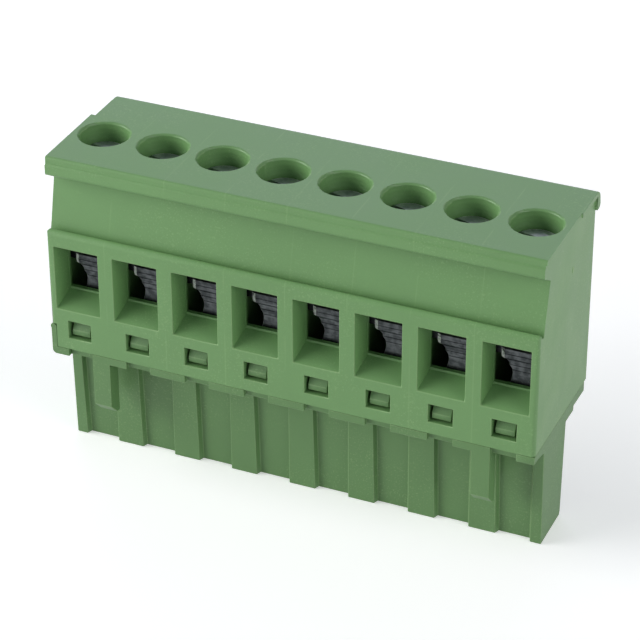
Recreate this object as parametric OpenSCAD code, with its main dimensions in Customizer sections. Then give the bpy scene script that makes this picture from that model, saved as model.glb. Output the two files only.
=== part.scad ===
// Eight-way pluggable terminal block, plug half, with captive screws and
// lifting clamp cages. X runs along the row, -Y is the wire-entry front, +Z is
// up. The origin is in the middle of the plug's mating face.

/* [Row] */
// Distance between neighbouring poles
pitch = 5.08; // [5:0.01:5.2]
// Number of poles
ways = 8; // [2:1:8]
// Plastic beyond the outermost poles' pitch, both ends together
end_trim = 0.08; // [0:0.01:0.1]

/* [Housing] */
// Height of the mating face below the housing's lower edge
housing_z = 10; // [9.5:0.1:10.5]
// Height of the top face above the mating face
top_z = 26.63; // [26.5:0.01:27]
// Depth from the wire-entry face to the back face
body_d = 11.9; // [11.8:0.05:12.2]
// Depth of the wire-entry face ahead of the plug's middle
front_y = 5.3; // [5.2:0.05:5.4]
// Height of the protruding front section's shoulder
shoulder_z = 20.5; // [20.4:0.05:20.7]
// Setback of the leaning panel at its foot
panel_foot_d = 1.05; // [1:0.05:1.2]
// Setback of the leaning panel below the top plate
panel_top_d = 1.85; // [1.6:0.05:2]
// Thickness of the top plate's lip at its ends
lip_h = 0.4; // [0.3:0.05:0.5]
// Overhang of the lip's front part at the right end
lip_right = 0.1; // [0:0.01:0.15]
// Depth of the crease between the lip's front part and its back strip
ridge_d = 8.3; // [8.1:0.05:8.6]
// Drop of the back strip at the crease
strip_drop = 0.03; // [0.02:0.01:0.06]
// Overhang of the back strip at the right end
strip_right = 0.18; // [0.1:0.01:0.2]
// Setback of the back strip at the left end
strip_left = 0.37; // [0.3:0.01:0.4]
// Reach of the bead behind the back face
bead_reach = 0.62; // [0.5:0.02:0.8]
// Height of the bead
bead_h = 1.55; // [1.4:0.05:1.8]
// Radius of the shoulder's nose
nose_r = 0.5; // [0.4:0.05:0.6]
// Thickness of the top plate's brow
brow_t = 0.6; // [0.5:0.05:0.7]
// Setback of the top plate's lower band
band_d = 0.48; // [0.4:0.02:0.6]
// Radius under the top plate's lower band
band_r = 0.27; // [0.2:0.01:0.35]
// Radius of the bead at the back of the top
bead_r = 0.75; // [0.6:0.05:0.8]
// Radius of the front section's upright edges and top corners
corner_r = 0.35; // [0.2:0.05:0.4]
// Radius of the back strip's left corner
strip_corner_r = 0.8; // [0.5:0.05:1]
// Thickness of the back wall
back_wall = 1.8; // [1.6:0.05:2]

/* [Driver wells] */
// Distance of the screw row behind the wire-entry face
screw_d = 5.7; // [5.6:0.02:5.8]
// Radius of a driver well
well_r = 1.93; // [1.9:0.01:1.95]
// Chamfer at a driver well's rim
well_chamfer = 0.19; // [0.1:0.01:0.25]
// Thickness of the web under the screw's head
web_t = 0.6; // [0.5:0.05:0.6]

/* [Wire entries] */
// Width of a wire entry's rim
entry_w = 3.8; // [3.7:0.02:3.9]
// Lower edge of a wire entry's rim
entry_z = 13.54; // [13.5:0.02:13.6]
// Height of a wire entry's rim
entry_h = 5.58; // [5.4:0.02:5.6]
// Depth of the funnel
funnel_d = 1.75; // [1.6:0.05:1.9]
// Rise of the funnel's floor
funnel_rise = 0.7; // [0.5:0.05:0.8]
// Width of the opening behind the funnel
throat_w = 3.1; // [2.9:0.05:3.2]
// Height of the sill at the funnel's end
sill_h = 0.5; // [0.3:0.05:0.55]
// Thickness of the wall behind the funnel
throat_t = 0.35; // [0.3:0.05:0.45]

/* [Screw] */
// Radius of the M3 thread
thread_r = 1.5; // [1.4:0.01:1.5]
// Height of the screw's head
head_h = 1.75; // [1.6:0.05:1.8]
// Depth of the head below the top face
head_sink = 1.5; // [1.4:0.05:1.6]
// Width of the driver slot
slot_w = 0.8; // [0.7:0.05:0.9]
// Depth of the driver slot
slot_deep = 0.9; // [0.7:0.05:1]
// Turn of the driver slot from the row
slot_turn = -15; // [-90:1:90]

/* [Clamp cage] */
// Depth of a cage along the wire
cage_d = 5.5; // [5.2:0.05:5.5]
// Thickness of the cage's side walls
cage_wall = 0.4; // [0.35:0.01:0.45]
// Thickness of the clamping floor
cage_floor = 0.7; // [0.6:0.05:0.8]
// Drop of the closed clamping floor below the current bar
floor_drop = 0.2; // [0.15:0.05:0.3]
// Thickness of the threaded top
nut_h = 1.8; // [1.6:0.05:1.8]
// Lift of a cage from open to closed
lift = 2.2; // [2:0.05:2.2]
// Thickness of the front flap
flap_t = 0.45; // [0.4:0.01:0.45]
// Height of the front flap
flap_h = 2.9; // [2.7:0.05:2.95]
// Half the width of the front flap's lower part
flap_half = 0.95; // [0.9:0.05:1.1]
// Distance from one embossed ridge of the flap to the next
ridge_step = 0.42; // [0.4:0.01:0.44]

/* [Contact] */
// Thickness of the current bar and its leg
bar_t = 0.8; // [0.7:0.02:0.8]
// Width of the current bar
bar_w = 2.4; // [2.2:0.05:2.5]
// Thickness of the spring tongues
tongue_t = 0.35; // [0.3:0.01:0.4]
// Trim of the spring tongues' width, each side
tongue_trim = 0.3; // [0.2:0.05:0.4]
// Gap between the spring tongues where they grip the pin
grip_gap = 0.85; // [0.8:0.01:0.9]
// Height above the mating face at which the tongues grip the pin
grip_z = 3.2; // [3:0.1:3.4]

/* [Plug insert] */
// Thickness of the flange at its front edge
flange_t = 0.65; // [0.6:0.05:0.8]
// Setback of the plug's ribs at the mating face
rib_d = 3; // [2.95:0.01:3.1]
// Depth of the channels between the ribs
channel_d = 0.45; // [0.3:0.01:0.5]
// Depth of the plug at the mating face
plug_d = 4.45; // [4.4:0.05:4.6]
// Width of a full rib's front face
rib_w = 2; // [1.8:0.05:2.1]
// Width of a front tab
tab_w = 3; // [2.9:0.05:3.1]
// Setback of the flange between the tabs
tab_gap_d = 0.4; // [0.3:0.05:0.5]
// Depth of the flange's level front strip
tab_d = 0.9; // [0.8:0.05:1]
// Width of a guide finger
finger_w = 1.5; // [1.4:0.05:1.6]
// Thickness of a guide finger
finger_t = 1.4; // [1.2:0.05:1.5]
// Height of a guide finger's tip
finger_z = 4.4; // [4.2:0.1:4.8]
// Setback of the flange from the housing's back face
flange_setback = 0.35; // [0.3:0.05:0.5]
// Setback of the plug's ends from the housing's ends
skirt_trim = 0.16; // [0.1:0.01:0.2]
// Thickness of the leg that wraps the left end
leg_t = 0.44; // [0.4:0.01:0.5]
// Height of that leg above the housing's lower edge
leg_h = 2.05; // [2:0.05:2.1]
// Length of that leg from the front to the back
leg_d = 9; // [8.8:0.1:9.2]
// Width of a contact pocket
pocket_w = 2.6; // [2.6:0.02:2.7]
// Depth of a contact pocket
pocket_d = 2.8; // [2.7:0.05:2.9]

/* [Latch] */
// Width of a latch window
window_w = 1.98; // [1.9:0.02:2.1]
// Lower edge of a latch window
window_z = 11.01; // [11:0.01:11.1]
// Height of a latch window
window_h = 1.56; // [1.5:0.02:1.6]
// Width of a latch lug
lug_w = 1.56; // [1.5:0.02:1.6]
// Setback of a latch lug behind the wire-entry face
lug_d = 0.3; // [0.2:0.02:0.4]
// Thickness of the wall over a latch tongue
latch_wall = 0.85; // [0.8:0.05:0.9]
// Thickness of the wall between a latch tongue and the cage's chamber
latch_back_wall = 0.3; // [0.25:0.05:0.35]

/* [Fits] */
// Play between housing and plug insert
mould_gap = 0.04; // [0.03:0.01:0.06]
// Play of a latch tongue behind its wall
latch_gap = 0.1; // [0.05:0.01:0.15]
// Play of a cage in its chamber, each side
cage_gap = 0.1; // [0.08:0.01:0.12]
// Radial play of a screw's thread in its cage
screw_gap = 0.04; // [0.02:0.01:0.06]
// Radial play of a screw's head in its well
head_gap = 0.07; // [0.05:0.01:0.1]
// Radial play of a screw's shank in the web
shank_gap = 0.15; // [0.1:0.01:0.2]
// Room between a screw and its cage's side walls
wall_gap = 0.06; // [0.05:0.01:0.08]
// Room above the closed cage's threaded top
cage_top_gap = 0.13; // [0.1:0.01:0.2]
// Room between the open cage's threaded top and the current bar
nut_gap = 0.15; // [0.1:0.01:0.2]

/* [Hidden] */

body_w = ways * pitch - end_trim;
strip_w = body_w + strip_right - strip_left;
strip_x = (strip_right + strip_left) / 2;
bead_d = body_d + bead_reach;
cage_w = 2 * (thread_r + wall_gap + cage_wall);
chamber_w = cage_w + 2 * cage_gap;
chamber_front_d = funnel_d + throat_t;
chamber_back_d = body_d - back_wall;
latch_back_d = chamber_front_d - latch_back_wall;
head_z = top_z - head_sink - head_h;
chamber_z = head_z - web_t;
nut_z = chamber_z - cage_top_gap - nut_h;
bar_z = nut_z - lift - nut_gap - bar_t;
cage_floor_z = bar_z - floor_drop;
flap_front_d = chamber_front_d + cage_gap;
cage_front_d = flap_front_d + flap_t;
leg_z = housing_z + leg_h;
flange_back_d = body_d - flange_setback;
skirt_back_d = rib_d + plug_d;
skirt_w = body_w - 2 * skirt_trim;
pocket_mid_d = front_y;
head_r = well_r - head_gap;
big = 50;
green = [0.44, 0.6, 0.39];
steel = [0.55, 0.57, 0.6];
zinc = [0.66, 0.67, 0.68];
tin = [0.78, 0.77, 0.72];

// ---- placing and outlines ---------------------------------------------

function pole_x(i) = (i - (ways + 1) / 2) * pitch;

// Points of an arc about (y, z), from angle a to angle b
function arc(y, z, r, a, b, steps = 6) =
    [for (k = [0 : steps]) let (t = a + (b - a) * k / steps)
        [y + r * cos(t), z + r * sin(t)]];

// Outlines are drawn in (depth behind the front face, height)
module along_row(width, middle = 0) {
    translate([middle - width / 2, -front_y, 0])
        rotate([90, 0, 90])
            linear_extrude(width)
                children();
}

module block(x, y, z) {
    translate([x[0], y[0] - front_y, z[0]])
        cube([x[1] - x[0], y[1] - y[0], z[1] - z[0]]);
}

module at_pole(i) {
    translate([pole_x(i), 0, 0])
        children();
}

// Trims a corner at the origin to a radius, on an object that lies towards
// +X and +Y of it
module corner_trim(r, length) {
    difference() {
        translate([-1, -1, 0])
            cube([r + 1, r + 1, length]);
        translate([r, r, -1])
            cylinder(r = r, h = length + 2, $fn = 32);
    }
}

// ---- housing ----------------------------------------------------------

module housing_outline() {
    crest = nose_r - 0.1;
    groove_z = shoulder_z - 0.48;
    cove_z = top_z - 2.28;
    brow_d = band_d + 0.14;
    brow_r = 0.18;
    brow_z = top_z - brow_t;
    band_z = brow_z - 0.75;
    strip_z = top_z - strip_drop;
    foot_r = 0.3;
    foot_z = strip_z - bead_h;
    polygon(concat(
        [[0, housing_z]],
        arc(nose_r, shoulder_z - nose_r, nose_r, 180, 100),
        [[crest + 0.15, groove_z + 0.08], [panel_foot_d - 0.2, groove_z]],
        [[panel_foot_d, shoulder_z + 0.3], [panel_top_d, cove_z]],
        arc(band_d + band_r, band_z, band_r, 270, 180, 4),
        [[band_d, brow_z - 0.12], [brow_d, brow_z]],
        arc(brow_d + brow_r, top_z - brow_r, brow_r, 180, 90, 3),
        [[ridge_d, top_z], [ridge_d, strip_z]],
        arc(bead_d - bead_r, strip_z - bead_r, bead_r, 90, 0),
        arc(bead_d - foot_r, foot_z + foot_r, foot_r, 0, -90, 4),
        [[body_d, foot_z], [body_d, housing_z]]
    ));
}

// The part of the outline over the given depths and heights
module outline_part(from_d, to_d, from_z, to_z) {
    intersection() {
        housing_outline();
        translate([from_d, from_z])
            square([to_d - from_d, to_z - from_z]);
    }
}

module driver_well() {
    translate([0, screw_d - front_y, head_z])
        cylinder(r = well_r, h = big, $fn = 64);
    translate([0, screw_d - front_y, top_z - well_chamfer])
        cylinder(r1 = well_r, r2 = well_r + 2 * well_chamfer, h = 2 * well_chamfer, $fn = 64);
    translate([0, screw_d - front_y, chamber_z - 1])
        cylinder(r = thread_r + shank_gap, h = web_t + 2, $fn = 48);
}

module wire_entry() {
    floor_z = entry_z + funnel_rise;
    entry_top_z = entry_z + entry_h;
    lintel = 0.1;
    along_row(entry_w)
        polygon([
            [-1, entry_z], [0, entry_z], [funnel_d, floor_z],
            [funnel_d, entry_top_z], [-1, entry_top_z]
        ]);
    block([-throat_w / 2, throat_w / 2], [0, chamber_front_d + 0.5],
        [floor_z + sill_h, entry_top_z - lintel]);
}

module latch_pocket() {
    half = window_w / 2;
    headroom = 0.3;
    block([-half, half], [-1, latch_wall + 0.01], [window_z, window_z + window_h]);
    block([-half - 0.02, half + 0.02], [latch_wall, latch_back_d],
        [housing_z - 1, window_z + window_h + headroom]);
}

module front_corners(side) {
    mirror([side < 0 ? 0 : 1, 0, 0]) {
        translate([-body_w / 2, -front_y, housing_z - 1])
            corner_trim(corner_r, shoulder_z + 1.5 - housing_z);
        translate([-body_w / 2, -front_y - 1, shoulder_z])
            rotate([-90, 0, 0])
                corner_trim(corner_r, panel_foot_d + 0.8);
    }
}

// The strip behind the crease, with the bead that hangs behind the back face
module back_strip() {
    root = 0.05;
    bead_z = top_z - strip_drop - bead_h;
    difference() {
        union() {
            along_row(strip_w, strip_x)
                outline_part(ridge_d, bead_d, top_z - lip_h, top_z);
            along_row(strip_w, strip_x)
                outline_part(body_d - root, bead_d, bead_z, top_z);
        }
        translate([strip_x - strip_w / 2, bead_d - front_y, bead_z - 1])
            mirror([0, 1, 0])
                corner_trim(strip_corner_r, bead_h + 2);
    }
}

module housing() {
    lip_z = top_z - lip_h;
    color(green)
        difference() {
            union() {
                along_row(body_w)
                    outline_part(0, body_d, housing_z, lip_z);
                along_row(body_w + lip_right, lip_right / 2)
                    outline_part(0, ridge_d, lip_z, top_z);
                back_strip();
            }
            for (i = [1 : ways]) at_pole(i) {
                driver_well();
                wire_entry();
                latch_pocket();
                block([-chamber_w / 2, chamber_w / 2], [chamber_front_d, chamber_back_d],
                    [housing_z - 1, chamber_z]);
            }
            block([-big, leg_t + mould_gap - body_w / 2], [-1, leg_d + mould_gap],
                [housing_z - 1, leg_z + mould_gap]);
            for (side = [-1, 1]) front_corners(side);
        }
}

// ---- plug insert ------------------------------------------------------

module flange_outline() {
    top = housing_z - mould_gap;
    front_z = top - flange_t;
    step_d = skirt_back_d + 1.6;
    polygon([
        [0, top], [0, front_z], [tab_d, front_z], [rib_d, front_z - 0.45], [step_d, front_z - 0.55],
        [step_d + 0.05, front_z - 0.15], [flange_back_d, front_z - 0.2], [flange_back_d, top]
    ]);
}

// Plug outline: from the given setback to the back, narrowing downwards
module plug_outline(setback) {
    draft = 0.38;
    step_d = skirt_back_d + 1.1;
    step_z = housing_z - 1.4;
    polygon([
        [setback, 0], [skirt_back_d - 0.12, 0], [skirt_back_d, 0.3],
        [skirt_back_d + draft, step_z - 0.2], [step_d, step_z], [step_d, housing_z - 1],
        [setback - 0.25, housing_z - 1]
    ]);
}

// Ribs stand on the pole boundaries with sloping flanks, and follow the plug's taper
module ribs() {
    half = rib_w / 2;
    foot = half + 0.27;
    root = rib_d + channel_d;
    tip = rib_d - 0.3;
    intersection() {
        along_row(skirt_w)
            plug_outline(rib_d);
        translate([0, -front_y, 0])
            linear_extrude(housing_z)
                for (k = [0 : ways]) translate([(k - ways / 2) * pitch, 0])
                    polygon([
                        [-foot, root + 0.3], [-foot, root], [-half, tip],
                        [half, tip], [foot, root], [foot, root + 0.3]
                    ]);
    }
}

// A finger hangs from the flange, with room behind it for the header's wall
module guide_finger(x) {
    slope = 0.95;
    top = housing_z - flange_t / 2;
    along_row(finger_w, x)
        polygon([
            [0, top], [0, finger_z + slope], [slope, finger_z], [finger_t, finger_z], [finger_t, top]
        ]);
}

module latch_tongue() {
    face_d = latch_wall + latch_gap;
    foot_z = housing_z - flange_t / 2 - 0.2;
    lug_z = window_z + 0.2;
    lug_top_z = window_z + window_h - 0.06;
    tip_z = window_z + window_h + 0.15;
    back_d = latch_back_d - latch_gap;
    along_row(lug_w)
        polygon([
            [face_d, foot_z], [face_d, lug_z], [lug_d, lug_z + 0.02], [lug_d, lug_z + 0.46],
            [latch_wall - 0.05, lug_top_z], [back_d - 0.15, tip_z], [back_d, foot_z]
        ]);
}

module contact_pocket() {
    lip = 0.35;
    lip_z = 0.9;
    half = pocket_w / 2;
    front = pocket_mid_d - pocket_d / 2;
    block([-half, half], [front, front + pocket_d], [lip_z, housing_z + 1]);
    block([-half + lip, half - lip], [front + lip, front + pocket_d - lip], [-1, lip_z + 0.1]);
}

module end_leg() {
    round = 0.25;
    left = -body_w / 2;
    block([left, left + leg_t], [0, leg_d], [housing_z - flange_t, leg_z - round]);
    block([left + leg_t - round, left + leg_t], [0, leg_d], [leg_z - 2 * round, leg_z - round]);
    translate([left + leg_t - round, -front_y, leg_z - round])
        rotate([-90, 0, 0])
            cylinder(r = round, h = leg_d, $fn = 32);
}

module plug_insert() {
    finger_x = (ways / 2 - 1) * pitch + finger_w / 2;
    gap_half = (pitch - tab_w) / 2;
    color(green)
        difference() {
            union() {
                along_row(body_w)
                    flange_outline();
                end_leg();
                along_row(skirt_w)
                    plug_outline(rib_d + channel_d);
                ribs();
                for (side = [-1, 1]) guide_finger(side * finger_x);
                for (i = [1 : ways]) at_pole(i) latch_tongue();
            }
            translate([-body_w / 2, tab_d - front_y, housing_z - mould_gap - flange_t])
                rotate([90, 0, 0])
                    corner_trim(corner_r, tab_d + 1);
            for (i = [1 : ways]) at_pole(i) {
                contact_pocket();
                block([-gap_half, gap_half], [-1, tab_gap_d], [housing_z - 2, housing_z + 0.5]);
            }
        }
}

// ---- metal ------------------------------------------------------------

module screw() {
    tip_z = bar_z + bar_t + 0.05;
    tip_chamfer = 0.35;
    rim = 0.15;
    color(steel)
        translate([0, screw_d - front_y, 0])
            difference() {
                union() {
                    translate([0, 0, head_z])
                        cylinder(r = head_r, h = head_h - rim, $fn = 64);
                    translate([0, 0, head_z + head_h - rim])
                        cylinder(r1 = head_r, r2 = head_r - 1.5 * rim, h = rim, $fn = 64);
                    translate([0, 0, tip_z + tip_chamfer])
                        cylinder(r = thread_r, h = head_z - tip_z, $fn = 64);
                    translate([0, 0, tip_z])
                        cylinder(r1 = thread_r - tip_chamfer, r2 = thread_r, h = tip_chamfer, $fn = 64);
                }
                translate([0, 0, head_z + head_h])
                    rotate(slot_turn)
                        cube([3 * well_r, slot_w, 2 * slot_deep], center = true);
            }
}

module flap() {
    half = cage_w / 2;
    waist = flap_half + 0.35;
    translate([0, cage_front_d - front_y, cage_floor_z])
        rotate([90, 0, 0])
            linear_extrude(flap_t)
                polygon([
                    [-half, 0], [-half, -0.6], [-waist, -0.75], [-waist, -1.15],
                    [-flap_half, -1.6], [-flap_half, -flap_h], [flap_half, -flap_h],
                    [flap_half, -1.6], [waist, -1.15], [waist, -0.75], [half, -0.6], [half, 0]
                ]);
}

module cage() {
    half = cage_w / 2;
    back = cage_front_d + cage_d;
    groove_h = 0.16;
    groove_deep = 0.1;
    color(zinc)
        difference() {
            union() {
                block([-half, half], [cage_front_d, back], [cage_floor_z - cage_floor, nut_z + nut_h]);
                flap();
            }
            block([-half + cage_wall, half - cage_wall], [cage_front_d - 1, back + 1],
                [cage_floor_z, nut_z]);
            translate([0, screw_d - front_y, nut_z - 1])
                cylinder(r = thread_r + screw_gap, h = nut_h + 2, $fn = 64);
            for (k = [0 : 3]) let (groove_z = cage_floor_z - 0.5 - ridge_step * k)
                block([-half - 1, half + 1], [flap_front_d - 1, flap_front_d + groove_deep],
                    [groove_z, groove_z + groove_h]);
        }
}

// Side outline of one spring tongue, bowed to the pin and flared at its mouth
module tongue_outline(side) {
    pinch = grip_gap / 2;
    bow = 0.8;
    mouth = 0.45;
    root = pocket_d / 2 - tongue_t - 0.15;
    path = [
        [root, housing_z + mould_gap + 0.25], [root, housing_z - 2.5], [pinch + 0.1, grip_z + bow],
        [pinch, grip_z], [pinch + 0.1, grip_z - bow], [pinch + mouth, grip_z - 2.4 * bow]
    ];
    polygon(concat(
        [for (p = path) [pocket_mid_d + side * p[0], p[1]]],
        [for (k = [len(path) - 1 : -1 : 0])
            [pocket_mid_d + side * (path[k][0] + tongue_t), path[k][1]]]
    ));
}

module contact() {
    front = cage_front_d + 0.1;
    back = chamber_back_d - 0.1;
    foot_z = housing_z + mould_gap;
    foot_top_z = foot_z + 0.5;
    foot_d = pocket_mid_d - pocket_d / 2 + 0.2;
    color(tin) {
        along_row(bar_w)
            polygon([
                [front, bar_z], [back - bar_t, bar_z], [back - bar_t, foot_top_z],
                [foot_d, foot_top_z], [foot_d, foot_z], [back, foot_z],
                [back, bar_z + bar_t], [front, bar_z + bar_t]
            ]);
        for (side = [-1, 1])
            along_row(bar_w - 2 * tongue_trim)
                tongue_outline(side);
    }
}

housing();
plug_insert();
for (i = [1 : ways]) {
    at_pole(i) screw();
    at_pole(i) cage();
    at_pole(i) contact();
}
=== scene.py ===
import math
import bmesh
import bpy
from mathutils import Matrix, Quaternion, Vector


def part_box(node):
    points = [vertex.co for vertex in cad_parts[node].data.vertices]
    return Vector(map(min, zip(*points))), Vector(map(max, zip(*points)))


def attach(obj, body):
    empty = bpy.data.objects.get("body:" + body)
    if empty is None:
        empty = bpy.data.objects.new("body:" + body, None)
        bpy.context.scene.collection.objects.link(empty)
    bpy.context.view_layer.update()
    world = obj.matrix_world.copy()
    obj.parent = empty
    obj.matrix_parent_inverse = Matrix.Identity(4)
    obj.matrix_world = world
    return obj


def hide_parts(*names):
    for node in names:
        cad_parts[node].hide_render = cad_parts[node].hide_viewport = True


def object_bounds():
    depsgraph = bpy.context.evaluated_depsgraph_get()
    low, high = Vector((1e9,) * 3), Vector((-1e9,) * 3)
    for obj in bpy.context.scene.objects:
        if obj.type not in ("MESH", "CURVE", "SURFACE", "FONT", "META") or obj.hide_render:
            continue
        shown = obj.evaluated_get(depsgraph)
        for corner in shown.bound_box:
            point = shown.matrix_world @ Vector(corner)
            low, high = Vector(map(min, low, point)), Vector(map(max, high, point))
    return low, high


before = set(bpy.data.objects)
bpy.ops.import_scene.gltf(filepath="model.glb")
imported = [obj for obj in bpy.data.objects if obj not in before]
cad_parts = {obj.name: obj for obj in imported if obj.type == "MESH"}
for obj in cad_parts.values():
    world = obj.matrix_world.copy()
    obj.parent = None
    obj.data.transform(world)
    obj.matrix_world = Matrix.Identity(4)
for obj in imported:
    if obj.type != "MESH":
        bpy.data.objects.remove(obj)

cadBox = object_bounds()
scene = bpy.context.scene
poles = range(1, 1 + sum(1 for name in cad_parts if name.startswith("screw_")))
print("frame loaded,", len(poles), "poles")


# Two softboxes at the left, one at the right and one behind, in a dim cool tent over a white table
studio = {
    "sky": {"colour": (0.9, 0.95, 1.0, 1), "strength": 0.22, "shine": 0.5},
    "lamps": {
        "leftBox": {"azimuth": -75, "height": 25, "size": 0.4, "watts": 2.4, "colour": (1, 1, 1)},
        "frontLeftBox": {"azimuth": -52, "height": 16, "size": 0.3, "watts": 1.35, "colour": (1, 1, 1)},
        "rightBox": {"azimuth": 75, "height": 25, "size": 0.4, "watts": 1.45, "colour": (1, 1, 1)},
        "backBox": {"azimuth": 203, "height": 31, "size": 0.5, "watts": 0.68, "colour": (0.8, 0.82, 1)},
    },
    "lampDistance": 0.6,
    "table": {
        "size": 6.0, "drop": 0.00002, "colour": (0.86, 0.86, 0.86, 1), "roughness": 0.9,
        "glowNear": 0.38, "glowFar": 0.84, "fade": (0.12, 0.8),
    },
}


def softBox(name, distance, look):
    lamp = bpy.data.lights.new(name, "AREA")
    lamp.shape = "DISK"
    lamp.size = look["size"]
    lamp.energy = look["watts"]
    lamp.color = look["colour"]
    side, lift = math.radians(look["azimuth"]), math.radians(look["height"])
    out = Vector((math.sin(side) * math.cos(lift), -math.cos(side) * math.cos(lift), math.sin(lift)))
    holder = bpy.data.objects.new(name, lamp)
    holder.location = out * distance
    holder.rotation_euler = (-out).to_track_quat("-Z", "Y").to_euler()
    scene.collection.objects.link(holder)


# The camera sees a white sky, and shine comes from a sky brighter than the one that lights
def makeSky(look):
    world = bpy.data.worlds.new("tent")
    scene.world = world
    world.use_nodes = True
    nodes, links = world.node_tree.nodes, world.node_tree.links
    lit = nodes["Background"]
    lit.inputs["Color"].default_value = look["colour"]
    path = nodes.new("ShaderNodeLightPath")
    shine = nodes.new("ShaderNodeMapRange")
    shine.inputs["To Min"].default_value = look["strength"]
    shine.inputs["To Max"].default_value = look["shine"]
    links.new(path.outputs["Is Glossy Ray"], shine.inputs["Value"])
    links.new(shine.outputs["Result"], lit.inputs["Strength"])
    white = nodes.new("ShaderNodeBackground")
    white.inputs["Color"].default_value = (1, 1, 1, 1)
    chosen = nodes.new("ShaderNodeMixShader")
    links.new(path.outputs["Is Camera Ray"], chosen.inputs[0])
    links.new(lit.outputs[0], chosen.inputs[1])
    links.new(white.outputs[0], chosen.inputs[2])
    links.new(chosen.outputs[0], nodes["World Output"].inputs["Surface"])


# The table glows a little for the camera and for reflections, and more with the distance
def makeTable(look):
    bm = bmesh.new()
    bmesh.ops.create_grid(bm, x_segments=1, y_segments=1, size=look["size"] / 2)
    mesh = bpy.data.meshes.new("table")
    bm.to_mesh(mesh)
    bm.free()
    table = bpy.data.objects.new("table", mesh)
    table.location.z = cadBox[0].z - look["drop"]
    scene.collection.objects.link(table)

    paint = bpy.data.materials.new("whiteTable")
    paint.use_nodes = True
    nodes, links = paint.node_tree.nodes, paint.node_tree.links
    surface = nodes["Principled BSDF"]
    surface.inputs["Base Color"].default_value = look["colour"]
    surface.inputs["Roughness"].default_value = look["roughness"]
    far = nodes.new("ShaderNodeVectorMath")
    far.operation = "LENGTH"
    links.new(nodes.new("ShaderNodeTexCoord").outputs["Object"], far.inputs[0])
    glow = nodes.new("ShaderNodeMapRange")
    glow.interpolation_type = "SMOOTHSTEP"
    glow.inputs["From Min"].default_value, glow.inputs["From Max"].default_value = look["fade"]
    glow.inputs["To Min"].default_value = look["glowNear"]
    glow.inputs["To Max"].default_value = look["glowFar"]
    links.new(far.outputs["Value"], glow.inputs["Value"])
    path = nodes.new("ShaderNodeLightPath")
    seen = nodes.new("ShaderNodeMath")
    seen.operation = "MAXIMUM"
    links.new(path.outputs["Is Camera Ray"], seen.inputs[0])
    links.new(path.outputs["Is Glossy Ray"], seen.inputs[1])
    level = nodes.new("ShaderNodeMath")
    level.operation = "MULTIPLY"
    links.new(seen.outputs[0], level.inputs[0])
    links.new(glow.outputs["Result"], level.inputs[1])
    light = nodes.new("ShaderNodeEmission")
    links.new(level.outputs[0], light.inputs["Strength"])
    both = nodes.new("ShaderNodeAddShader")
    links.new(surface.outputs[0], both.inputs[0])
    links.new(light.outputs[0], both.inputs[1])
    links.new(both.outputs[0], nodes["Material Output"].inputs["Surface"])
    mesh.materials.append(paint)


# Camera: front right, from above
cameraLook = {
    "place": (0.072645, -0.165762, 0.124876),
    "aim": (-0.34007, 0.78241, -0.52172),
    "rollDegrees": -0.198,
    "lens": 153.6,
}


def makeCamera(values):
    data = bpy.data.cameras.new("camera")
    data.sensor_width = 36
    data.lens = values["lens"]
    data.clip_start, data.clip_end = 0.01, 20
    camera = bpy.data.objects.new("camera", data)
    turn = Quaternion((0, 0, 1), math.radians(values["rollDegrees"]))
    camera.rotation_mode = "QUATERNION"
    camera.rotation_quaternion = Vector(values["aim"]).to_track_quat("-Z", "Y") @ turn
    camera.location = values["place"]
    scene.collection.objects.link(camera)
    scene.camera = camera


scene.view_settings.view_transform = "Standard"
makeCamera(cameraLook)
makeSky(studio["sky"])
makeTable(studio["table"])
for name, look in studio["lamps"].items():
    softBox(name, studio["lampDistance"], look)
print("camera and studio made")


# Node helpers for the finishes
def newGroup(name, inputs, outputs):
    group = bpy.data.node_groups.new(name, "ShaderNodeTree")
    for label, kind, value in inputs:
        socket = group.interface.new_socket(name=label, in_out="INPUT", socket_type=kind)
        socket.default_value = value
    for label, kind in outputs:
        group.interface.new_socket(name=label, in_out="OUTPUT", socket_type=kind)
    source = group.nodes.new("NodeGroupInput")
    sink = group.nodes.new("NodeGroupOutput")
    return group, source.outputs, sink.inputs


def mathNode(tree, operation, *values):
    node = tree.nodes.new("ShaderNodeMath")
    node.operation = operation
    for place, value in enumerate(values):
        if isinstance(value, (int, float)):
            node.inputs[place].default_value = value
        else:
            tree.links.new(value, node.inputs[place])
    return node.outputs[0]


def noiseNode(tree, vector, scale, detail, roughness=0.55):
    node = tree.nodes.new("ShaderNodeTexNoise")
    node.inputs["Detail"].default_value = detail
    node.inputs["Roughness"].default_value = roughness
    tree.links.new(vector, node.inputs["Vector"])
    if isinstance(scale, (int, float)):
        node.inputs["Scale"].default_value = scale
    else:
        tree.links.new(scale, node.inputs["Scale"])
    return node.outputs["Fac"]


# A mask that runs from 0 to 1 while the value runs from low to high
def rampNode(tree, value, low, high):
    node = tree.nodes.new("ShaderNodeMapRange")
    node.interpolation_type = "SMOOTHSTEP"
    node.inputs["From Min"].default_value = low
    node.inputs["From Max"].default_value = high
    tree.links.new(value, node.inputs["Value"])
    return node.outputs["Result"]


def mixNode(tree, mask, first, second):
    node = tree.nodes.new("ShaderNodeMix")
    node.data_type = "RGBA"
    for socket, value in (("Factor", mask), ("A", first), ("B", second)):
        place = [s for s in node.inputs if s.name == socket and s.enabled][0]
        if isinstance(value, (tuple, float)):
            place.default_value = value
        else:
            tree.links.new(value, place)
    return [s for s in node.outputs if s.enabled][0]


def scaleNode(tree, vector, factors):
    node = tree.nodes.new("ShaderNodeVectorMath")
    node.operation = "MULTIPLY"
    tree.links.new(vector, node.inputs[0])
    node.inputs[1].default_value = factors
    return node.outputs[0]


# reads the per-face mask of painted edge highlight and metal wear, which also holds the pale gate mark
def edgeMask(tree):
    node = tree.nodes.new("ShaderNodeAttribute")
    node.attribute_name = "highlightWearMarks"
    return node.outputs["Fac"]


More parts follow.
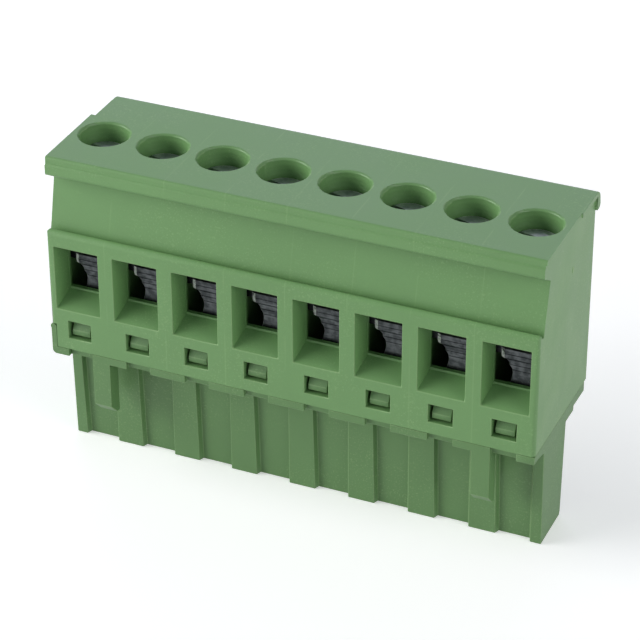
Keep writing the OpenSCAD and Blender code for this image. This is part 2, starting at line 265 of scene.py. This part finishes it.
# Densities of the layers, the values between which a mask rises, and the shares they add
grainLayers = {
    "cloud": 260,
    "flow": 60,
    "patch": 170,
    "scuff": 1500,
    "speckDensity": 0.8,
    "speckRise": (0.56, 0.72),
    "patchRise": (0.35, 0.65),
    "scuffRise": (0.69, 0.78),
    "scuffStretch": (0.35, 2.6, 1.0),
    "scuffPaleness": 0.12,
    "scuffShine": 0.1,
    "roughChange": 0.9,
    "cloudHeight": 0.5,
}


# Spark-eroded grain with pale specks, cloudy tone, scuffs, and bevelled edges paled as a painted highlight
def makeGrain():
    group, given, out = newGroup(
        "mouldedGrain",
        [
            ("Colour", "NodeSocketColor", (0.2, 0.3, 0.15, 1)),
            ("Pale", "NodeSocketColor", (0.3, 0.42, 0.22, 1)),
            ("Roughness", "NodeSocketFloat", 0.5),
            ("Grain Size", "NodeSocketFloat", 0.00012),
            ("Tone Change", "NodeSocketFloat", 0.08),
            ("Specks", "NodeSocketFloat", 0.3),
            ("Edges", "NodeSocketFloat", 0.3),
        ],
        [("Colour", "NodeSocketColor"), ("Roughness", "NodeSocketFloat"), ("Height", "NodeSocketFloat")],
    )
    place = group.nodes.new("ShaderNodeTexCoord").outputs["Object"]
    density = mathNode(group, "DIVIDE", 1.0, given["Grain Size"])
    fine = noiseNode(group, place, density, 2)
    cloud = noiseNode(group, place, grainLayers["cloud"], 3)
    flow = noiseNode(group, place, grainLayers["flow"], 1)
    # tone = 1 + change * (fine + cloud + flow - 1.5)
    added = mathNode(group, "ADD", mathNode(group, "ADD", cloud, flow), fine)
    swing = mathNode(group, "MULTIPLY", mathNode(group, "SUBTRACT", added, 1.5), given["Tone Change"])
    tint = group.nodes.new("ShaderNodeVectorMath")
    tint.operation = "SCALE"
    group.links.new(given["Colour"], tint.inputs[0])
    group.links.new(mathNode(group, "ADD", swing, 1.0), tint.inputs["Scale"])
    # pale specks are finer than the grain, and come in patches
    speckDensity = mathNode(group, "MULTIPLY", density, grainLayers["speckDensity"])
    speck = rampNode(group, noiseNode(group, place, speckDensity, 1), *grainLayers["speckRise"])
    patch = rampNode(group, noiseNode(group, place, grainLayers["patch"], 1), *grainLayers["patchRise"])
    specks = mathNode(group, "MULTIPLY", mathNode(group, "MULTIPLY", speck, patch), given["Specks"])
    # long thin scuffs
    scuffPlace = scaleNode(group, place, grainLayers["scuffStretch"])
    scuff = rampNode(group, noiseNode(group, scuffPlace, grainLayers["scuff"], 2), *grainLayers["scuffRise"])
    # the bevel faces are mixed towards Pale: a painted edge highlight
    edges = mathNode(group, "MULTIPLY", edgeMask(group), given["Edges"])
    scuffs = mathNode(group, "MULTIPLY", scuff, grainLayers["scuffPaleness"])
    marks = mathNode(group, "ADD", scuffs, mathNode(group, "ADD", specks, edges))
    group.links.new(mixNode(group, marks, tint.outputs[0], given["Pale"]), out["Colour"])
    change = mathNode(group, "MULTIPLY", swing, grainLayers["roughChange"])
    rough = mathNode(group, "ADD", given["Roughness"], change)
    shine = mathNode(group, "MULTIPLY", scuff, grainLayers["scuffShine"])
    group.links.new(mathNode(group, "SUBTRACT", rough, shine), out["Roughness"])
    relief = mathNode(group, "MULTIPLY", cloud, grainLayers["cloudHeight"])
    group.links.new(mathNode(group, "ADD", fine, relief), out["Height"])
    return group


markLayers = {
    "breaks": 900,
    "breakStretch": (1.0, 0.4, 0.25),
    "breakRise": (0.4, 0.62),
    "lineRise": (0.2, 1.0),
}


# Weld lines between the poles, and rings left by the core pins in the wells
def makeMouldMarks():
    group, given, out = newGroup(
        "mouldMarks",
        [
            ("Pitch", "NodeSocketFloat", 0.00508),
            ("Well Y", "NodeSocketFloat", 0.0004),
            ("Well Foot", "NodeSocketFloat", 0.0233),
            ("Well Radius", "NodeSocketFloat", 0.00205),
            ("Line Width", "NodeSocketFloat", 0.00008),
            ("Ring Rise", "NodeSocketFloat", 0.0004),
        ],
        [("Weld Line", "NodeSocketFloat"), ("Rings", "NodeSocketFloat")],
    )
    place = group.nodes.new("ShaderNodeTexCoord").outputs["Object"]
    split = group.nodes.new("ShaderNodeSeparateXYZ")
    group.links.new(place, split.inputs[0])
    x, y, z = split.outputs
    turns = mathNode(group, "DIVIDE", x, given["Pitch"])
    # the distance to the nearest line between two poles, and to the nearest pole
    offLine = mathNode(group, "SUBTRACT", mathNode(group, "FRACT", mathNode(group, "ADD", turns, 0.5)), 0.5)
    offPole = mathNode(group, "SUBTRACT", mathNode(group, "FRACT", turns), 0.5)
    away = mathNode(group, "MULTIPLY", mathNode(group, "ABSOLUTE", offLine), given["Pitch"])
    thin = mathNode(group, "DIVIDE", away, given["Line Width"])
    breakPlace = scaleNode(group, place, markLayers["breakStretch"])
    breaks = noiseNode(group, breakPlace, markLayers["breaks"], 2)
    broken = rampNode(group, breaks, *markLayers["breakRise"])
    outside = rampNode(group, thin, *markLayers["lineRise"])
    line = mathNode(group, "MULTIPLY", mathNode(group, "SUBTRACT", 1.0, outside), broken)
    group.links.new(line, out["Weld Line"])
    across = mathNode(group, "MULTIPLY", offPole, given["Pitch"])
    along = mathNode(group, "SUBTRACT", y, given["Well Y"])
    acrossSquared = mathNode(group, "MULTIPLY", across, across)
    alongSquared = mathNode(group, "MULTIPLY", along, along)
    far = mathNode(group, "SQRT", mathNode(group, "ADD", acrossSquared, alongSquared))
    near = mathNode(group, "LESS_THAN", far, given["Well Radius"])
    inside = mathNode(group, "MULTIPLY", near, mathNode(group, "GREATER_THAN", z, given["Well Foot"]))
    turn = mathNode(group, "MULTIPLY", mathNode(group, "DIVIDE", z, given["Ring Rise"]), 2 * math.pi)
    wave = mathNode(group, "SINE", turn)
    group.links.new(mathNode(group, "MULTIPLY", wave, inside), out["Rings"])
    return group


platingLayers = {
    "streaks": 8000,
    "streakStretch": (0.1, 0.3, 1.0),
    "faceRise": (0.35, 0.65),
    "highlightWearRise": (0.3, 0.5),
    "roughChange": 0.4,
    "blotchHeight": 0.6,
}


# Rolled and plated sheet: streaks, blotches, a dulled face, and paler edge patches that are partly wear and
# partly painted highlight
def makePlating():
    group, given, out = newGroup(
        "platedMetal",
        [
            ("Bright", "NodeSocketColor", (0.6, 0.6, 0.6, 1)),
            ("Dull", "NodeSocketColor", (0.3, 0.3, 0.3, 1)),
            ("Edge", "NodeSocketColor", (0.8, 0.8, 0.8, 1)),
            ("Roughness", "NodeSocketFloat", 0.3),
            ("Blotch Size", "NodeSocketFloat", 0.0008),
            ("Streaks", "NodeSocketFloat", 0.3),
        ],
        [
            ("Colour", "NodeSocketColor"),
            ("Roughness", "NodeSocketFloat"),
            ("Height", "NodeSocketFloat"),
            ("Highlight And Wear", "NodeSocketFloat"),
        ],
    )
    place = group.nodes.new("ShaderNodeTexCoord").outputs["Object"]
    streakPlace = scaleNode(group, place, platingLayers["streakStretch"])
    streaks = noiseNode(group, streakPlace, platingLayers["streaks"], 3)
    blotches = noiseNode(group, place, mathNode(group, "DIVIDE", 1.0, given["Blotch Size"]), 3)
    streak = mathNode(group, "MULTIPLY", mathNode(group, "SUBTRACT", streaks, 0.5), given["Streaks"])
    mask = rampNode(group, mathNode(group, "ADD", blotches, streak), *platingLayers["faceRise"])
    face = mixNode(group, mask, given["Dull"], given["Bright"])
    # edge patches take the paler Edge colour: partly wear, partly painted highlight
    patches = rampNode(group, blotches, *platingLayers["highlightWearRise"])
    highlightWear = mathNode(group, "MULTIPLY", edgeMask(group), patches)
    group.links.new(mixNode(group, highlightWear, face, given["Edge"]), out["Colour"])
    group.links.new(highlightWear, out["Highlight And Wear"])
    darker = mathNode(group, "SUBTRACT", 0.5, blotches)
    change = mathNode(group, "MULTIPLY", darker, platingLayers["roughChange"])
    group.links.new(mathNode(group, "ADD", given["Roughness"], change), out["Roughness"])
    relief = mathNode(group, "MULTIPLY", blotches, platingLayers["blotchHeight"])
    group.links.new(mathNode(group, "ADD", streaks, relief), out["Height"])
    return group


def groupNode(paint, group, values):
    node = paint.node_tree.nodes.new("ShaderNodeGroup")
    node.node_tree = group
    for label, value in values.items():
        node.inputs[label].default_value = value
    return node.outputs


def bumpNode(paint, height, distance, strength):
    node = paint.node_tree.nodes.new("ShaderNodeBump")
    node.inputs["Distance"].default_value = distance
    node.inputs["Strength"].default_value = strength
    paint.node_tree.links.new(height, node.inputs["Height"])
    return node


grain = makeGrain()
mouldMarks = makeMouldMarks()
plating = makePlating()

plasticLook = {
    "housing": {"Colour": (0.142, 0.288, 0.104, 1), "Pale": (0.27, 0.42, 0.185, 1), "Roughness": 0.44},
    # the insert green is darker than the housing green: painted shade under the flange overhang
    "insert": {"Colour": (0.108, 0.222, 0.078, 1), "Pale": (0.25, 0.39, 0.17, 1), "Roughness": 0.47},
    # Bevel Highlight is how far the bevelled edges are paled as a painted highlight
    "shared": {"Grain Size": 0.00011, "Tone Change": 0.12, "Specks": 0.35, "Edges": 0.3},
    "bumpDistance": 0.000006,
    "bumpStrength": 0.6,
    "weldPaleness": 0.22,
    "ringDepth": 0.000004,
    "specular": 0.5,
}


def plastic(name, look, marked):
    paint = bpy.data.materials.new(name)
    paint.use_nodes = True
    tree = paint.node_tree
    surface = tree.nodes["Principled BSDF"]
    effect = groupNode(paint, grain, look | plasticLook["shared"])
    colour = effect["Colour"]
    bump = bumpNode(paint, effect["Height"], plasticLook["bumpDistance"], plasticLook["bumpStrength"])
    if marked:
        marks = groupNode(paint, mouldMarks, {})
        line = mathNode(tree, "MULTIPLY", marks["Weld Line"], plasticLook["weldPaleness"])
        colour = mixNode(tree, line, colour, look["Pale"])
        rings = bumpNode(paint, marks["Rings"], plasticLook["ringDepth"], 1.0)
        tree.links.new(bump.outputs["Normal"], rings.inputs["Normal"])
        bump = rings
    tree.links.new(colour, surface.inputs["Base Color"])
    tree.links.new(effect["Roughness"], surface.inputs["Roughness"])
    tree.links.new(bump.outputs["Normal"], surface.inputs["Normal"])
    surface.inputs["Specular IOR Level"].default_value = plasticLook["specular"]
    return paint


metalLook = {
    "screwSteel": {
        "Bright": (0.46, 0.49, 0.5, 1), "Dull": (0.28, 0.32, 0.32, 1), "Edge": (0.8, 0.81, 0.81, 1),
        "Roughness": 0.42, "Blotch Size": 0.0007, "Streaks": 0.2,
    },
    # the cage's Edge colour is near white and, through edgeScatter, almost matte: a painted highlight on the
    # flap's rolled corner
    "cageSteel": {
        "Bright": (0.1, 0.108, 0.112, 1), "Dull": (0.05, 0.055, 0.058, 1), "Edge": (0.98, 0.98, 0.97, 1),
        "Roughness": 0.38, "Blotch Size": 0.0005, "Streaks": 0.4,
    },
    "contactTin": {
        "Bright": (0.55, 0.54, 0.5, 1), "Dull": (0.32, 0.31, 0.28, 1), "Edge": (0.8, 0.79, 0.75, 1),
        "Roughness": 0.32, "Blotch Size": 0.0012, "Streaks": 0.3,
    },
    # share by which the paler edges turn matte, so that the painted highlight shows without a lamp lighting
    # it
    "edgeScatter": {"screwSteel": 0.4, "cageSteel": 0.95, "contactTin": 0.0},
    "bumpDistance": 0.000002,
    "bumpStrength": 0.5,
}


def metal(name):
    paint = bpy.data.materials.new(name)
    paint.use_nodes = True
    tree = paint.node_tree
    surface = tree.nodes["Principled BSDF"]
    effect = groupNode(paint, plating, metalLook[name])
    bump = bumpNode(paint, effect["Height"], metalLook["bumpDistance"], metalLook["bumpStrength"])
    tree.links.new(effect["Colour"], surface.inputs["Base Color"])
    tree.links.new(effect["Roughness"], surface.inputs["Roughness"])
    tree.links.new(bump.outputs["Normal"], surface.inputs["Normal"])
    surface.inputs["Metallic"].default_value = 1.0
    share = metalLook["edgeScatter"][name]
    if share:
        scatter = mathNode(tree, "MULTIPLY", effect["Highlight And Wear"], share)
        tree.links.new(mathNode(tree, "SUBTRACT", 1.0, scatter), surface.inputs["Metallic"])
    return paint


housingGreen = plastic("housingGreen", plasticLook["housing"], True)
insertGreenPaintedShade = plastic("insertGreenPaintedShade", plasticLook["insert"], False)
screwSteel = metal("screwSteel")
cageSteel = metal("cageSteel")
contactTin = metal("contactTin")
print("finishes made")


# Pieces: each is a copy of its solid with the flat faces joined and the sharp edges broken
shaping = {
    "mergeDistance": 0.000001,
    "cutDistance": 0.0000001,
    "flatDegrees": 0.6,
    "sharpDegrees": 30.4,
    "foldTolerance": 2e-9,
    "attempts": 5,
}


def everything(bm):
    return bm.verts[:] + bm.edges[:] + bm.faces[:]


def faceWidth(face):
    return face.calc_area() / max(edge.calc_length() for edge in face.edges)


def shortestBeside(edge):
    return min(other.calc_length() for vert in edge.verts for other in vert.link_edges)


def joinedShape(node):
    bm = bmesh.new()
    bm.from_mesh(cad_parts[node].data)
    bmesh.ops.remove_doubles(bm, verts=bm.verts, dist=shaping["mergeDistance"])
    return bm


# The boxes of the faces that a bevel has folded over themselves
def foldedBoxes(bm, room):
    drawn = {}
    for corners in bm.calc_loop_triangles():
        a, b, c = (corner.vert.co for corner in corners)
        face = corners[0].face
        drawn[face] = drawn.get(face, 0.0) + (b - a).cross(c - a).length / 2
    boxes = []
    for face, area in drawn.items():
        if area - face.calc_area() > shaping["foldTolerance"]:
            sides = zip(*(vert.co for vert in face.verts))
            boxes.append([(min(side) - room, max(side) + room) for side in sides])
    return boxes


def inBoxes(point, boxes):
    return any(all(low <= point[k] <= high for k, (low, high) in enumerate(box)) for box in boxes)


# Edges whose bevel would fold a narrow face are left sharp in the next attempt
def brokenShape(node, values):
    offset, folded = values["offset"], []
    for attempt in range(shaping["attempts"]):
        bm = joinedShape(node)
        bmesh.ops.dissolve_limit(
            bm,
            angle_limit=math.radians(shaping["flatDegrees"]),
            use_dissolve_boundaries=False,
            verts=bm.verts,
            edges=bm.edges,
        )
        sharp = []
        for edge in bm.edges:
            if not edge.is_manifold or edge.calc_face_angle(0) < math.radians(values["angle"]):
                continue
            if min(faceWidth(face) for face in edge.link_faces) < values["room"] * offset:
                continue
            if shortestBeside(edge) < values["room"] * offset:
                continue
            spots = [(edge.verts[0].co + edge.verts[1].co) / 2]
            if attempt > 1:
                spots += [vert.co for vert in edge.verts]
            if not any(inBoxes(spot, folded) for spot in spots):
                sharp.append(edge)
        # bevel faces are marked for the painted edge highlight, and for wear on metal
        mask = bm.faces.layers.float.new("highlightWearMarks")
        made = bmesh.ops.bevel(
            bm,
            geom=sharp,
            offset=offset,
            offset_type="OFFSET",
            segments=values["segments"],
            profile=0.5,
            affect="EDGES",
            clamp_overlap=False,
            material=-1,
        )
        for face in made["faces"]:
            face[mask] = 1.0
        found = foldedBoxes(bm, offset)
        folded += found
        if not found:
            break
    print(node, "has", len(sharp), "broken edges and", len(found), "folded faces")
    return bm


def placed(bm, name, flat=False):
    mesh = bpy.data.meshes.new(name)
    bm.to_mesh(mesh)
    bm.free()
    piece = bpy.data.objects.new(name, mesh)
    scene.collection.objects.link(piece)
    if flat:
        return piece
    for face in mesh.polygons:
        face.use_smooth = True
    mesh.set_sharp_from_angle(angle=math.radians(shaping["sharpDegrees"]))
    weight = piece.modifiers.new("flatFaces", "WEIGHTED_NORMAL")
    weight.mode = "FACE_AREA"
    weight.weight = 100
    weight.keep_sharp = True
    return piece


def dress(piece, paint, body, slotName, *nodes):
    piece.data.materials.append(paint)
    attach(piece, body)
    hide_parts(*nodes)


mouldings = {
    "housing": {"angle": shaping["sharpDegrees"], "room": 2.2, "offset": 0.00007, "segments": 2},
    "plug_insert": {"angle": shaping["sharpDegrees"], "room": 2.2, "offset": 0.00005, "segments": 2},
    "cheeks": {
        "wide": 0.0019, "narrow": 0.001552, "start": 0.00007, "end": 0.00185,
        "heights": (0.0134, 0.0193), "buried": 0.0001, "floorBuried": 0.00005,
        "floor": ((0.0001, 0.01358), (0.002095, 0.014742), (0.002095, 0.0142), (0.0004, 0.0134)),
    },
    "gateMark": {
        "place": (0.02028, 0.0018, 0.0224), "size": (0.00005, 0.00013, 0.0003), "paleness": 2.2,
    },
}


# A closed solid through like outlines, one after the other
def addSolid(bm, outlines):
    rings = [[bm.verts.new(point) for point in outline] for outline in outlines]
    faces = [bm.faces.new(rings[0]), bm.faces.new(rings[-1][::-1])]
    for low, high in zip(rings, rings[1:]):
        for side in range(len(low)):
            after = (side + 1) % len(low)
            faces.append(bm.faces.new((low[side], high[side], high[after], low[after])))
    bmesh.ops.recalc_face_normals(bm, faces=faces)
    return faces


# Tapered cheeks and a ramped floor narrow each wire entry towards the clamp
def addCheeks(bm, values):
    front = cadBox[0].y
    wide, narrow = values["wide"], values["narrow"]
    buried = wide + values["buried"]
    half = wide + values["floorBuried"]
    for pole in poles:
        low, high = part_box(f"screw_{pole}")
        middle = (low[0] + high[0]) / 2
        for side in (-1, 1):
            plan = [
                (middle + side * wide, front + values["start"]),
                (middle + side * narrow, front + values["end"]),
                (middle + side * buried, front + values["end"]),
            ]
            addSolid(bm, [[(x, y, z) for x, y in plan] for z in values["heights"]])
        ends = (middle - half, middle + half)
        addSolid(bm, [[(x, front + d, z) for d, z in values["floor"]] for x in ends])


# The torn-off gate on the right end is a flat, pale blister
def addGateMark(bm, values):
    mask = bm.faces.layers.float["highlightWearMarks"]
    before = set(bm.faces)
    ball = bmesh.ops.create_uvsphere(bm, u_segments=24, v_segments=12, radius=1)
    bmesh.ops.scale(bm, vec=values["size"], verts=ball["verts"])
    bmesh.ops.translate(bm, vec=values["place"], verts=ball["verts"])
    for face in set(bm.faces) - before:
        face[mask] = values["paleness"]


housingBm = brokenShape("housing", mouldings["housing"])
addCheeks(housingBm, mouldings["cheeks"])
addGateMark(housingBm, mouldings["gateMark"])
dress(placed(housingBm, "housingShell"), housingGreen, "block", "housing_green", "housing")
plugBm = brokenShape("plug_insert", mouldings["plug_insert"])
dress(placed(plugBm, "plugShell"), insertGreenPaintedShade, "block", "insert_green", "plug_insert")
print("mouldings made")

stampings = {
    "contact": {"angle": 24, "room": 2.2, "offset": 0.00003, "segments": 2},
    # Down the flap from the top of the cage's floor: height, left edge, width of the rolled corner
    "flapOutline": [
        (0.0, -0.0012, 0.00028), (-0.00055, -0.0012, 0.00028), (-0.00078, -0.00116, 0.00026),
        (-0.00084, -0.0008, 0.00008), (-0.0011, -0.00056, 0.00008), (-0.00128, -0.00058, 0.00008),
        (-0.00155, -0.00036, 0.00008), (-0.002, -0.00028, 0.00008), (-0.0024, -0.00034, 0.00008),
        (-0.0029, -0.00046, 0.00008),
    ],
    "flap": {
        "thickness": 0.00045, "right": 0.0012, "roll": 0.00012, "weld": 0.0001, "cutBack": 0.00001,
        # the rolled corner carries a full painted highlight down to highlightDrop, and below that a fainter
        # mix of painted highlight and wear
        "highlightDrop": 0.0008, "highlightLevel": 1.0, "lowerHighlightWear": 0.3, "leaning": -0.15,
    },
    "flapGrooves": {
        "places": (-0.0004, -0.00082, -0.00124, -0.00166), "width": 0.00009, "depth": 0.00004,
        "flatShare": 0.6,
    },
}


# The flap is a sheet with an uneven sheared edge, a rolled left corner and pressed grooves
def addFlap(bm, middle, back, top):
    flap, grooves, outline = stampings["flap"], stampings["flapGrooves"], stampings["flapOutline"]
    levels = [(z, 0.0) for z, edge, roll in outline]
    for place in grooves["places"]:
        half = grooves["width"] / 2
        flat = grooves["flatShare"] * half
        levels += [(place + half, 0.0), (place + flat, grooves["depth"])]
        levels += [(place - flat, grooves["depth"]), (place - half, 0.0)]
    front = back - flap["thickness"]
    rings = []
    for drop, sink in sorted(levels, reverse=True):
        pairs = [(a, b) for a, b in zip(outline, outline[1:]) if b[0] <= drop <= a[0]]
        upper, lower = pairs[0]
        share = (upper[0] - drop) / (upper[0] - lower[0])
        edge, roll = (upper[k] + share * (lower[k] - upper[k]) for k in (1, 2))
        ring = [
            (middle + edge, back + flap["weld"]), (middle + edge, front + flap["roll"]),
            (middle + edge + roll, front + sink), (middle + flap["right"], front + sink),
            (middle + flap["right"], back + flap["weld"]),
        ]
        rings.append([(x, y, top + drop) for x, y in ring])
    faces = addSolid(bm, rings)
    # painted highlight on the rolled left corner: full near the top, fainter and partly wear lower down
    mask = bm.faces.layers.float["highlightWearMarks"]
    for face in faces:
        spot = face.calc_center_median()
        if spot.y < front + flap["roll"] and face.normal.x < flap["leaning"]:
            face[mask] = flap["highlightLevel"] if spot.z > top - flap["highlightDrop"] else flap["lowerHighlightWear"]


# The cage's own flap is cut off, and the ring left open by the cut is closed
def cageShape(pole):
    low, high = (Vector(corner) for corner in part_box(f"cage_{pole}"))
    bm = joinedShape(f"cage_{pole}")
    bm.faces.layers.float.new("highlightWearMarks")
    back = low.y + stampings["flap"]["thickness"]
    cut = bmesh.ops.bisect_plane(
        bm,
        geom=everything(bm),
        dist=shaping["cutDistance"],
        plane_co=(0, back + stampings["flap"]["cutBack"], 0),
        plane_no=(0, 1, 0),
        clear_inner=True,
        clear_outer=False,
    )
    rim = [part for part in cut["geom_cut"] if isinstance(part, bmesh.types.BMEdge)]
    bmesh.ops.triangle_fill(bm, use_beauty=True, use_dissolve=False, edges=rim)
    bmesh.ops.recalc_face_normals(bm, faces=bm.faces)
    addFlap(bm, (low.x + high.x) / 2, back, low.z - stampings["flapOutline"][-1][0])
    return bm


for pole in poles:
    cage = placed(cageShape(pole), f"clampCage{pole}", flat=True)
    dress(cage, cageSteel, f"cage_{pole}", "cage_steel", f"cage_{pole}")
    contact = placed(brokenShape(f"contact_{pole}", stampings["contact"]), f"springContact{pole}")
    dress(contact, contactTin, "block", "contact_tin", f"contact_{pole}")
print("cages and contacts made")

# The screw keeps its head, and its plain shank gives way to a rolled M3 thread
screwLook = {
    "edges": {"angle": shaping["sharpDegrees"], "room": 2.2, "offset": 0.00004, "segments": 2},
    "headHeight": 0.00175,
    "threadRadius": 0.0015,
    "threadDepth": 0.00028,
    "threadRise": 0.0005,
    "tipChamfer": 0.00035,
    "stub": 0.00003,
    "overlap": 0.0001,
    "mergeDistance": 0.000002,
    "turnSteps": 24,
}


# Cuts off what lies below (or above) a level plane and closes the cut
def cutLevel(bm, level, dropBelow):
    cut = bmesh.ops.bisect_plane(
        bm,
        geom=everything(bm),
        dist=shaping["cutDistance"],
        plane_co=(0, 0, level),
        plane_no=(0, 0, 1),
        clear_inner=dropBelow,
        clear_outer=not dropBelow,
    )
    rim = [part for part in cut["geom_cut"] if isinstance(part, bmesh.types.BMEdge)]
    bmesh.ops.holes_fill(bm, edges=rim, sides=0)


def makeThread(middle, low, high, look):
    rise, steps = look["threadRise"], look["turnSteps"]
    outer = look["threadRadius"]
    root = outer - look["threadDepth"]
    bm = bmesh.new()
    tooth = [(root, 0), (root, 0.12), (outer, 0.45), (outer, 0.55), (root, 0.88), (root, 1)]
    verts = [bm.verts.new((middle.x + r, middle.y, low + (z - 1) * rise)) for r, z in tooth]
    edges = [bm.edges.new(pair) for pair in zip(verts, verts[1:])]
    count = round(((high - low) / rise + 2) * steps)
    bmesh.ops.spin(
        bm,
        geom=verts + edges,
        cent=middle,
        axis=(0, 0, 1),
        dvec=(0, 0, rise / steps),
        angle=2 * math.pi * count / steps,
        steps=count,
        use_merge=False,
        use_normal_flip=False,
        use_duplicate=False,
    )
    bmesh.ops.remove_doubles(bm, verts=bm.verts, dist=look["mergeDistance"])
    cutLevel(bm, low, True)
    cutLevel(bm, high, False)
    for vert in bm.verts:
        limit = outer - max(0, low + look["tipChamfer"] - vert.co.z)
        arm = Vector((vert.co.x - middle.x, vert.co.y - middle.y, 0))
        if arm.length > limit:
            vert.co -= arm * (1 - limit / arm.length)
    bmesh.ops.recalc_face_normals(bm, faces=bm.faces)
    return bm


for pole in poles:
    low, high = (Vector(corner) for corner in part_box(f"screw_{pole}"))
    middle = Vector(((low.x + high.x) / 2, (low.y + high.y) / 2, 0))
    neck = high.z - screwLook["headHeight"]
    bm = brokenShape(f"screw_{pole}", screwLook["edges"])
    cutLevel(bm, neck - screwLook["stub"], True)
    thread = makeThread(middle, low.z, neck + screwLook["overlap"], screwLook)
    spare = bpy.data.meshes.new("spareThread")
    thread.to_mesh(spare)
    thread.free()
    bm.from_mesh(spare)
    bpy.data.meshes.remove(spare)
    dress(placed(bm, f"clampScrew{pole}"), screwSteel, f"screw_{pole}", "screw_steel", f"screw_{pole}")
print("screws made")
